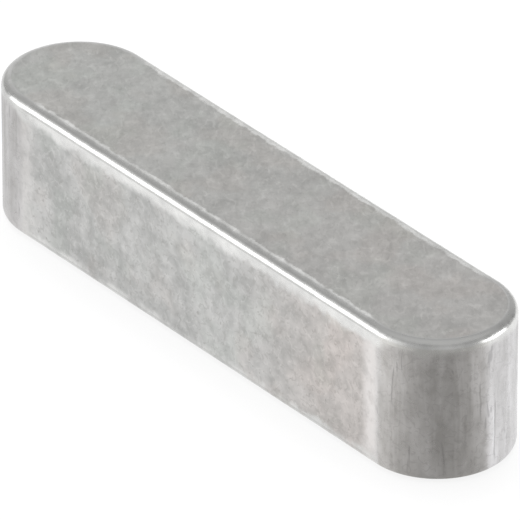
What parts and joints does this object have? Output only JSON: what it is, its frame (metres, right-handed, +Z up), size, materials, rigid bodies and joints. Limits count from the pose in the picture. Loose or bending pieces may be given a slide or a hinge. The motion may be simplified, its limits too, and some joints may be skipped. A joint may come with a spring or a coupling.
{
  "type": "parallel key",
  "caption": "Square-section parallel key with two full-round ends and softly rounded edges, which locks a hub to a shaft in matching keyways.",
  "frame": {"origin": "middle of the bottom face, the face that sits on the floor of the shaft keyseat", "axes": "+X along the key from one round end to the other, +Y across its width, +Z up its height"},
  "size_m": [0.028, 0.006, 0.006],
  "materials": {
    "tumbled_steel": "tumbled satin stainless steel, with burnished edges"
  },
  "bodies": {
    "root": {"parallel_key": "tumbled_steel"}
  },
  "joints": []
}
